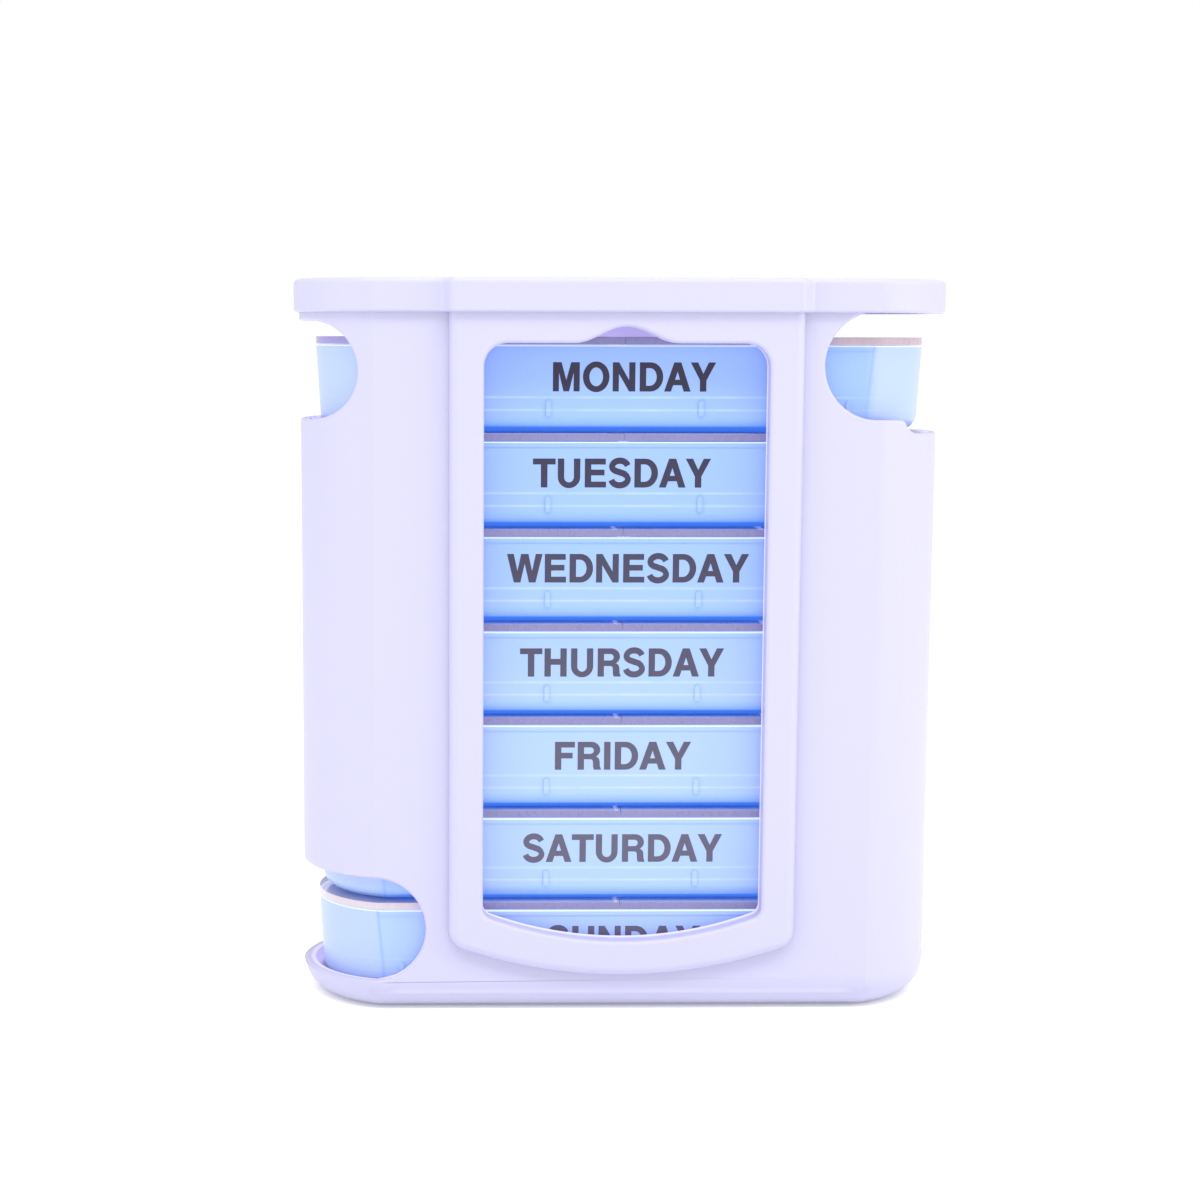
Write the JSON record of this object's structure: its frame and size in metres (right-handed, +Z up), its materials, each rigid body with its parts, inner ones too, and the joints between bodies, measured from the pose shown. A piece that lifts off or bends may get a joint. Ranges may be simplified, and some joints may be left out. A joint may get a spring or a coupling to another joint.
{
  "type": "weekly pill organizer",
  "caption": "Tower case with a hinged lid and a front window, holding a stack of day trays whose pill wells have clear flip lids; the top tray slides out at the side.",
  "frame": {"origin": "on the resting face, at the middle of the whole object seen from above", "axes": "+Z up, -Y is the front with the window, +X towards the end that the top tray leaves through"},
  "size_m": [0.1314, 0.0454, 0.146],
  "materials": {
    "case_body": "white moulded plastic with a faint lavender cast, soft gloss",
    "case_lid": "white moulded plastic with a faint lavender cast, soft gloss",
    "day_tray": "milky light blue translucent plastic",
    "well_lid": "clear plastic whose edges look mauve",
    "hinge_pin": "plain wire"
  },
  "bodies": {
    "case": {"case_body": "case_body", "case_lid_hinge_pin": "hinge_pin", "tray_tuesday": "day_tray", "tray_wednesday": "day_tray", "tray_thursday": "day_tray", "tray_friday": "day_tray", "tray_saturday": "day_tray", "tray_sunday": "day_tray", "lid_tuesday_1": "well_lid", "lid_tuesday_2": "well_lid", "lid_tuesday_3": "well_lid", "lid_tuesday_4": "well_lid", "lid_wednesday_1": "well_lid", "lid_wednesday_2": "well_lid", "lid_wednesday_3": "well_lid", "lid_wednesday_4": "well_lid", "lid_thursday_1": "well_lid", "lid_thursday_2": "well_lid", "lid_thursday_3": "well_lid", "lid_thursday_4": "well_lid", "lid_friday_1": "well_lid", "lid_friday_2": "well_lid", "lid_friday_3": "well_lid", "lid_friday_4": "well_lid", "lid_saturday_1": "well_lid", "lid_saturday_2": "well_lid", "lid_saturday_3": "well_lid", "lid_saturday_4": "well_lid", "lid_sunday_1": "well_lid", "lid_sunday_2": "well_lid", "lid_sunday_3": "well_lid", "lid_sunday_4": "well_lid"},
    "case_lid": {"case_lid": "case_lid"},
    "monday_tray": {"tray_monday": "day_tray"},
    "monday_lid_1": {"lid_monday_1": "well_lid"},
    "monday_lid_2": {"lid_monday_2": "well_lid"},
    "monday_lid_3": {"lid_monday_3": "well_lid"},
    "monday_lid_4": {"lid_monday_4": "well_lid"}
  },
  "joints": [
    {"name": "case_lid_hinge", "type": "hinge", "parent": "case", "child": "case_lid", "pos_m": [-0.064, 0.00121, 0.1414], "axis": [0, -1, 0], "range_deg": [0, 110]},
    {"name": "monday_tray_slide", "type": "slide", "parent": "case", "child": "monday_tray", "axis": [1, 0, 0], "range_m": [0, 0.1275]},
    {"name": "monday_lid_1_hinge", "type": "hinge", "parent": "monday_tray", "child": "monday_lid_1", "pos_m": [-0.0453, 0.01701, 0.13395], "axis": [-1, 0, 0], "range_deg": [0, 15]},
    {"name": "monday_lid_2_hinge", "type": "hinge", "parent": "monday_tray", "child": "monday_lid_2", "pos_m": [-0.0151, 0.01701, 0.13395], "axis": [-1, 0, 0], "range_deg": [0, 15]},
    {"name": "monday_lid_3_hinge", "type": "hinge", "parent": "monday_tray", "child": "monday_lid_3", "pos_m": [0.0151, 0.01701, 0.13395], "axis": [-1, 0, 0], "range_deg": [0, 15]},
    {"name": "monday_lid_4_hinge", "type": "hinge", "parent": "monday_tray", "child": "monday_lid_4", "pos_m": [0.0453, 0.01701, 0.13395], "axis": [-1, 0, 0], "range_deg": [0, 15]}
  ]
}
